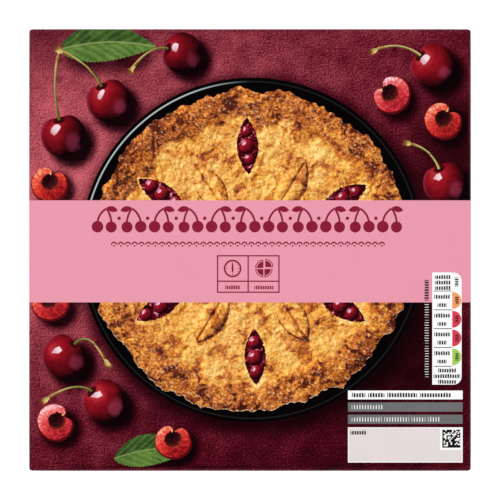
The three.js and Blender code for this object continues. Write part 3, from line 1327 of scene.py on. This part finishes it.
ink("wine_on_pink_ink", stroked(wine, pink))
left_cell = (frame_left + frame_middle) / 2
right_cell = (frame_middle + frame_right) / 2
cell_middle = (frame_head + frame_shelf) / 2
shelf_middle = (frame_shelf + frame_foot) / 2
picture += framed("wine_ink", frame_left, frame_right, frame_foot, frame_head, frame_line)
lay("wine_ink", rectangle(frame_left, frame_right, frame_shelf, frame_shelf + frame_line))
divider_ends = (frame_middle - frame_line / 2, frame_middle + frame_line / 2)
lay("wine_ink", rectangle(*divider_ends, frame_foot, frame_head))
picture += clock_sign(left_cell, cell_middle, sign_radius, "pink_ink")
picture += quarters_sign(right_cell, cell_middle, sign_radius, "pink_ink")
for middle, half_line, seed in ((left_cell, 3.3, 5), (right_cell, 4.2, 9)):
    line_ends = (middle - half_line, middle + half_line)
    picture += words("wine_on_pink_ink", *line_ends, shelf_middle, sign_print, seed)


# The values tag
# A white tag with round corners on its right, ruled into six cells. Four have a half-round in amber, red or
# green at the right. Lines of strokes fill the cells, and one more line climbs beside the tag.
tag_left = 80.4
tag_right = 93.36
tag_head = -9.9
tag_foot = -59.39
tag_corner = 3.6
rule_right = 89.0
rule_inset = 0.6
first_rule = -18.1
rule_pitch = 8.3
rule_line = 0.34
half_round_left = 89.2
half_round_width = 4.05
half_round_height = rule_pitch - 0.8
round_line = half_round_left + 2.05
head_line = half_round_left + 1.9
side_line = 77.9
tag_print = 1.8
side_print = 1.9
round_print = 1.6
upper_line = 2.5
lower_line = 6.1

white = printed(255, 255, 255)
dark = printed(50, 42, 47)
ink("white_ink", white)
ink("dark_ink", dark)
ink("dark_on_white_ink", stroked(dark, white))
ink("dark_on_pink_ink", stroked(dark, pink))
ink("white_on_ground_ink", stroked(white, suede, 0.21))
for name, colour in (("amber", (246, 162, 102)), ("red", (226, 62, 86)), ("green", (168, 208, 92))):
    ink(name + "_ink", printed(*colour))
    ink("dark_on_" + name + "_ink", stroked(dark, printed(*colour)))


def tag_outline():
    """A rectangle with its two right corners rounded."""
    x = tag_right - tag_corner
    lower = ring_of(x, tag_foot + tag_corner, tag_corner, 8, start=-math.pi / 2, end=0)
    upper = ring_of(x, tag_head - tag_corner, tag_corner, 8, start=0, end=math.pi / 2)
    return [(tag_left, tag_foot)] + lower + upper + [(tag_left, tag_head)]


def rule(middle):
    ends = (tag_left + rule_inset, rule_right)
    return block("dark_ink", *ends, middle - rule_line / 2, middle + rule_line / 2)


def tag_line(left, right, middle, seed):
    return words("dark_on_white_ink", left, right, middle, tag_print, seed)


lay("white_ink", tag_outline())
flatten = half_round_height / 2 / half_round_width
quarter = math.pi / 2
for k, name in enumerate(("amber", "red", "red", "green")):
    head = first_rule - rule_pitch * k
    middle = head - rule_pitch / 2
    picture.append(rule(head))
    half_round = ring_of(half_round_left, middle, half_round_width, 20, flatten, 0.0, -quarter, quarter)
    lay(name + "_ink", half_round)
    line_ends = (middle - 1.6, middle + 1.6)
    picture += words("dark_on_" + name + "_ink", *line_ends, round_line, round_print, 30 + k, True)
    picture += tag_line(tag_left + 0.9, rule_right - 0.9, head - upper_line, 40 + k)
    picture += tag_line(tag_left + 2.3, rule_right - 2.2, head - lower_line, 50 + k)
last_rule = first_rule - 4 * rule_pitch
picture.append(rule(last_rule))
for k in range(3):
    inset = 0.6 if k == 1 else 2.5
    picture += tag_line(tag_left + 1.1, rule_right - 0.4, tag_head - 2.0 - 2.4 * k, 60 + k)
    picture += tag_line(tag_left + inset, tag_right - inset, last_rule - 1.8 - 2.5 * k, 70 + k)
picture += words("dark_on_white_ink", tag_head - 6.2, tag_head - 2.2, head_line, 1.7, 77, True)
picture += words("white_on_ground_ink", tag_foot + 3.4, band_foot - 0.4, side_line, side_print, 81, True)
picture += words("dark_on_pink_ink", band_foot + 0.8, tag_head - 3.3, side_line, side_print, 82, True)


# The storage bars
# A white bar and two grey ones for how to keep the pie, printed flat over the ground, each with a line of
# strokes in it.
bars_left = 43.2
bars_right = 93.82
bar_print = 2.0
grey = printed(111, 112, 113)
ink("grey_ink", grey)
ink("white_on_grey_ink", stroked(white, grey, 0.31))
for name, strokes, head, foot, reach, seed in (
    ("white_ink", "dark_on_white_ink", -62.0, -65.9, 88.5, 91),
    ("grey_ink", "white_on_grey_ink", -67.2, -71.32, 59.0, 92),
    ("grey_ink", "white_on_grey_ink", -72.65, -76.7, 83.5, 93),
):
    lay(name, rectangle(bars_left, bars_right, foot, head))
    picture += words(strokes, bars_left + 1.7, reach, (head + foot) / 2, bar_print, seed)


# The date field
# A pale field in a white border, left free for a date, with a white corner that holds a square patch of
# random dark cells, closed at its left and its foot.
date_head = -78.22
date_foot = -93.76
date_border = 0.35
patch_left = 83.84
patch_foot = -88.24
patch_size = 8
cell_count = 13
cell_size = patch_size / cell_count
dark_cell_chance = 0.6
date_colour = printed(230, 220, 220)
ink("date_ink", date_colour)
ink("dark_on_date_ink", stroked(dark, date_colour))
ink("cell_ink", printed(22, 18, 20))
lay("white_ink", rectangle(bars_left, bars_right, date_foot, date_head))
date_ends = (bars_left + date_border, bars_right - date_border)
lay("date_ink", rectangle(*date_ends, date_foot + date_border, date_head - date_border))
lay("white_ink", rectangle(patch_left, bars_right, patch_foot, date_head))
picture += words("dark_on_date_ink", bars_left + 1.1, bars_left + 8.2, date_head - 2.3, 1.8, 95)
patch_x = (patch_left + bars_right - patch_size) / 2
patch_s = (patch_foot + date_head - patch_size) / 2
draw = random.Random(23)
for row in range(cell_count):
    run = 0
    for column in range(cell_count + 1):
        if column < cell_count and (row == 0 or column == 0 or draw.random() < dark_cell_chance):
            run += 1
        elif run:
            x = patch_x + cell_size * (column - run)
            s = patch_s + cell_size * row
            lay("cell_ink", rectangle(x, x + cell_size * run, s, s + cell_size))
            run = 0


# The top panel
# The printed face, up to the middle of the folds round it, which meet at its corners. It crowns a little
# over the pie. Under each corner a slit lets the end flap fold down past the end of the long fold.
flap_root = half_width - fold_radius
top_ridge = top_fold + ridge


def with_both_ends(right_side):
    """A panel's outline from its right side, given from its lower to its upper corner."""
    return right_side + [(-x, s) for x, s in reversed(right_side)]


top_right_side = [
    (top_end_fold + ridge, -top_ridge),
    (top_end_fold + ridge, top_ridge),
]
ground = block("ground_ink", -300, 300, -400, 300)
picture.insert(0, ground)
buckle = 0.12


def top_buckles(x, s):
    """The wide, very shallow buckles of a panel held only at its folds."""
    inside = max(1 - (x / half_length) ** 2, 0) * max(1 - (s / half_width) ** 2, 0)
    return buckle * inside * noise.noise(Vector((x / 38, s / 38, 2.0)))


board_piece("top_panel", with_both_ends(top_right_side), picture, top_end_fold, 2.2, top_buckles)


# The front and back panels
# The two long walls under the printed face, which bow in a little. The suede ground runs down over them, and
# each has a pink field with the frieze in it. The back panel's lower edge is cut, and covers the glue lap.
# Each wall ends in the root of its two dust flaps.
wall_bow = 0.3
root_gap = 0.4
field_reach = 71
field_height = 25
wall_middle = (wall_head + wall_foot) / 2


def bowed_in(x, s):
    along = max(1 - (x / side_end_fold) ** 2, 0)
    down = (abs(s) - wall_head) / (wall_foot - wall_head)
    if not 0 < down < 1:
        return 0.0
    ripple = 0.05 * noise.noise(Vector((x / 25, s / 25, 5.0)))
    return along * (ripple - wall_bow * math.sin(math.pi * down))


def carried(fields, there, back):
    """The same fields taken there. A field's own coordinates are those of the place that back leads to."""

    def led_back(local):
        return lambda x, s: local(*back(x, s))

    outlines = [[there(x, s) for x, s in field.outline] for field in fields]
    return [Field(field.ink, outline, led_back(field.local)) for field, outline in zip(fields, outlines)]


def turned_over(x, s):
    return (-x, -s)


field_ends = (-wall_middle - field_height / 2, -wall_middle + field_height / 2)
wall_print = [block("pink_ink", -field_reach, field_reach, *field_ends)]
wall_print += frieze(-field_reach + 6, field_reach - 6, -wall_middle + 3.2, 9.7, 11)
wall_print += scallops(-field_reach + 14, field_reach - 14, -wall_middle - 6.6, 36)
back_print = carried(wall_print, turned_over, turned_over)
front_right_side = [
    (tube_end, -wall_foot - ridge),
    (tube_end, -wall_foot + root_gap),
    (side_end_fold, -wall_foot + root_gap),
    (side_end_fold, -wall_head - root_gap),
    (tube_end, -wall_head - root_gap),
    (tube_end, -top_ridge),
]
back_right_side = [
    (tube_end, top_ridge),
    (tube_end, wall_head + root_gap),
    (side_end_fold, wall_head + root_gap),
    (side_end_fold, back_edge),
]
board_piece("front_panel", with_both_ends(front_right_side), picture + wall_print, tube_end, 3, bowed_in)
board_piece("back_panel", with_both_ends(back_right_side), picture + back_print, tube_end, 3, bowed_in)


# The bottom panel
# A plain white field inside a border of the ground: a wine heading bar with a sprig, columns of strokes, a
# ruled table, the two signs and a patch of random bars. It lies flat under the pie's weight.
bottom_middle = -(bottom_edge + top_fold)
lap_side_root = half_width - flap_step - fold_radius - 0.25
sheet_reach = 88
heading_foot = 66
heading_middle = 74
heading_head = 82
line_pitch = 2.7
paragraph_print = 1.4
table_print = 1.6
table_left = -25
table_right = 84
table_foot = -46
table_rows = 8
table_rules = (20, 42, 64)
table_half_line = 0.1
sign_row = -60
underside_sign_radius = 6.0
bar_unit = 0.33


def paragraph(left, right, head, foot, seed):
    """Lines with a ragged right side, as a paragraph has."""
    draw = random.Random(seed)
    fields = []
    line = head
    while line > foot:
        line_end = right - draw.uniform(0, 7)
        fields += words("dark_on_white_ink", left, line_end, line, paragraph_print, draw.random())
        line -= line_pitch
    return fields


def bar_patch(left, foot, width, height, seed):
    """A patch of upright bars of random widths."""
    draw = random.Random(seed)
    fields = []
    place = left + 10 * bar_unit
    while place < left + width - 10 * bar_unit:
        bar = bar_unit * draw.choice((1, 1, 2, 3))
        fields.append(block("dark_ink", place, place + bar, foot + 3.2, foot + height - 1.2))
        place += bar + bar_unit * draw.choice((1, 1, 2, 3))
    return fields


underside = [block("white_ink", -sheet_reach, sheet_reach, -sheet_reach, sheet_reach)]
underside.append(block("wine_ink", 4 - sheet_reach, sheet_reach - 4, heading_foot, heading_head))
underside += sprig("pink_ink", -72, heading_middle, 11)
underside += scallops(-58, 76, heading_middle, 40, "pink_ink")
for k, sides in enumerate(((-83, -32, 60, 6), (-25, 26, 60, 6), (33, 84, 60, 6), (-83, -32, -4, -44))):
    underside += paragraph(*sides, 101 + k)
underside += framed("wine_ink", table_left, table_right, table_foot, 0, 0.35)
for k in range(table_rows):
    line = table_foot * (k + 1) / table_rows
    line_up = line + 2.9
    line_sides = (line - table_half_line, line + table_half_line)
    underside.append(block("wine_ink", table_left, table_right, *line_sides))
    underside += words("dark_on_white_ink", table_left + 2, 8 + 3 * (k % 3), line_up, table_print, 110 + k)
    for stop in table_rules:
        underside += words("dark_on_white_ink", stop + 4, stop + 11, line_up, table_print, 124 + 3 * k + stop)
for stop in table_rules:
    underside.append(block("wine_ink", stop - table_half_line, stop + table_half_line, table_foot, 0))
underside += clock_sign(-76, sign_row, underside_sign_radius, "white_ink")
underside += quarters_sign(-60, sign_row, underside_sign_radius, "white_ink")
underside += paragraph(-48, 26, -54, -82, 105)
underside += bar_patch(38, -82, 46, 26, 131)
underside = carried(underside, lambda x, s: (x, s + bottom_middle), lambda x, s: (x, s - bottom_middle))

bottom_right_side = [
    (bottom_end_fold - root_gap, -lap_fold - ridge),
    (bottom_end_fold - root_gap, bottom_middle - lap_side_root),
    (bottom_end_fold, bottom_middle - lap_side_root),
    (bottom_end_fold, bottom_middle + flap_root),
    (tube_end, bottom_middle + flap_root),
    (tube_end, -wall_foot - ridge),
]
board_piece("bottom_panel", with_both_ends(bottom_right_side), [ground] + underside, tube_end, 6)


# The glue lap
# A narrow strip turned up from the bottom inside the back panel. It is left white, so that the glue holds,
# and is tapered at its ends, which clear the dust flaps.
lap_edge_inset = 14
lap_fold_inset = 6
lap_right_side = [
    (half_length - lap_edge_inset, -lap_edge),
    (half_length - lap_fold_inset, -lap_fold - ridge),
]
board_piece("glue_lap", with_both_ends(lap_right_side), [], tube_end, 8)


# The dust flaps
# The front and back walls' flaps fold in first, at both ends. The print ends a little past their folds, and
# the rest is white lining, shut in behind the closing flaps.
dust_flap_length = 58
dust_flap_taper = 2.5
bleed = 9


def dust_flap(name, end, root, far_root):
    """One dust flap at the end with this sign, its root between two flat places."""
    lean = dust_flap_taper * math.copysign(1, far_root - root)
    past_fold = side_end_fold + quarter_fold
    tip = past_fold + dust_flap_length
    outline = [
        (end * side_end_fold, root),
        (end * tip, root + lean),
        (end * tip, far_root - lean),
        (end * side_end_fold, far_root),
    ]
    print_ends = sorted((end * (side_end_fold - 1), end * (past_fold + bleed)))
    board_piece(name, outline, [block("ground_ink", *print_ends, -300, 300)], side_end_fold, 8)


for side_name, end in (("right", 1), ("left", -1)):
    dust_flap("front_dust_flap_" + side_name, end, -wall_foot + root_gap, -wall_head - root_gap)
    dust_flap("back_dust_flap_" + side_name, end, wall_head + root_gap, back_edge - 1.2)


# The closing flaps
# At each end the bottom's flap folds up over the dust flaps, and the top's flap folds down over it and is
# glued. The pink band runs down the outer flap, with one large sprig. Its free corners spring out a bit.
flap_taper = 2.5
outer_foot = 4
inner_head = 38
flap_corner = 6
corner_spring = 0.22
outer_head = top_end_fold + quarter_fold
outer_tip = outer_head + fold_level - fold_radius - outer_foot
inner_tip = bottom_end_fold + quarter_fold + inner_head - fold_radius
flap_side = flap_root - flap_taper


def sprung_corners(x, s):
    share = max((abs(x) - outer_head) / (outer_tip - outer_head), 0)
    ripple = 0.06 * share * noise.noise(Vector((x / 20, s / 20, 8)))
    return corner_spring * share**2 * (s / flap_root) ** 4 + ripple


def upright_on_flap(fields, end):
    """Fields drawn upright about 0, 0, turned to stand on an end flap with this sign, at its middle."""
    middle = (top_end_fold + outer_tip) / 2

    def there(x, s):
        return (end * (middle - s), end * x)

    def back(x, s):
        return (end * s, middle - end * x)

    return carried(fields, there, back)


emblem = sprig("wine_ink", 0, 2.5, 19) + scallops(-15, 15, -12.5, 10)
for side_name, end in (("right", 1), ("left", -1)):
    half_side = [
        (end * (top_end_fold + ridge), flap_root),
        (end * (outer_tip - flap_corner), flap_side + 0.3),
        (end * (outer_tip - 0.45 * flap_corner), flap_side - 0.12 * flap_corner),
        (end * (outer_tip - 0.12 * flap_corner), flap_side - 0.45 * flap_corner),
        (end * outer_tip, flap_side - flap_corner),
    ]
    outline = half_side + [(x, -s) for x, s in reversed(half_side)]
    flap_print = picture + upright_on_flap(emblem, end)
    board_piece("outer_end_flap_" + side_name, outline, flap_print, top_end_fold, 3, sprung_corners)
    outline = [
        (end * bottom_end_fold, bottom_middle + flap_root),
        (end * inner_tip, bottom_middle + flap_side),
        (end * inner_tip, bottom_middle - lap_side_root + flap_taper),
        (end * bottom_end_fold, bottom_middle - lap_side_root),
    ]
    glued = sorted((end * (bottom_end_fold + quarter_fold + bleed), end * (inner_tip + 1)))
    bare = block("board_lining", *glued, bottom_middle - flap_side + bleed, bottom_middle + flap_side - bleed)
    board_piece("inner_end_flap_" + side_name, outline, [ground, bare], bottom_end_fold, 6)


# The table and the light
# A white light table, lit a little from within, so that hardly any shade shows on it, and large soft lamps
# all round at half height. None hangs overhead, where the varnish would mirror it and grey the blacks.
table_size = 6.0
table_gap = 0.4 * MM
table_glow = 0.42
bpy.ops.mesh.primitive_plane_add(size=table_size, location=(0, 0, -table_gap))
table = bpy.context.object
table.name = "table"
table_top = bpy.data.materials.new("pale_table")
table_top.use_nodes = True
table_shader = table_top.node_tree.nodes["Principled BSDF"]
table_look = {"Base Color": (0.9, 0.9, 0.9, 1), "Roughness": 0.9, "Specular IOR Level": 0.1}
table_look.update({"Emission Color": (1, 1, 1, 1), "Emission Strength": table_glow})
for socket, value in table_look.items():
    table_shader.inputs[socket].default_value = value
table.data.materials.append(table_top)

lamp_count = 4
lamp_distance = 1.5
lamp_height = 1.25
lamp_size = 1.1
lamp_power = 18.7
upper_left_lamp = 1
upper_left_gain = 1.12
for k in range(lamp_count):
    turn = math.tau * (k + 0.5) / lamp_count
    lamp = bpy.data.lights.new("lamp", "AREA")
    lamp.energy = lamp_power * (upper_left_gain if k == upper_left_lamp else 1.0)
    lamp.size = lamp_size
    stand = bpy.data.objects.new("lamp_stand", lamp)
    stand.location = (lamp_distance * math.cos(turn), lamp_distance * math.sin(turn), lamp_height)
    stand.rotation_euler = (-stand.location).to_track_quat("-Z", "Y").to_euler()
    bpy.context.scene.collection.objects.link(stand)

room_glow = 0.05
world = bpy.data.worlds.new("room")
world.use_nodes = True
backdrop = world.node_tree.nodes["Background"]
backdrop.inputs["Color"].default_value = (1, 1, 1, 1)
backdrop.inputs["Strength"].default_value = room_glow
bpy.context.scene.world = world
bpy.context.scene.view_settings.view_transform = "Standard"


# The camera
# Straight above, far off with a long lens, so that the printed face fills the frame as in the photograph:
# its edge measures 442 of the frame's 500 pixels.
face_pixels = 442
frame_pixels = 500
lens = 200
sensor = 36
frame_width = 2 * half_length * MM * frame_pixels / face_pixels
camera_data = bpy.data.cameras.new("camera")
camera_data.lens = lens
camera_data.sensor_width = sensor
camera_data.clip_end = 20
camera = bpy.data.objects.new("camera", camera_data)
camera.location = (0, 0, fold_level * MM + frame_width * lens / sensor)
bpy.context.scene.collection.objects.link(camera)
bpy.context.scene.camera = camera
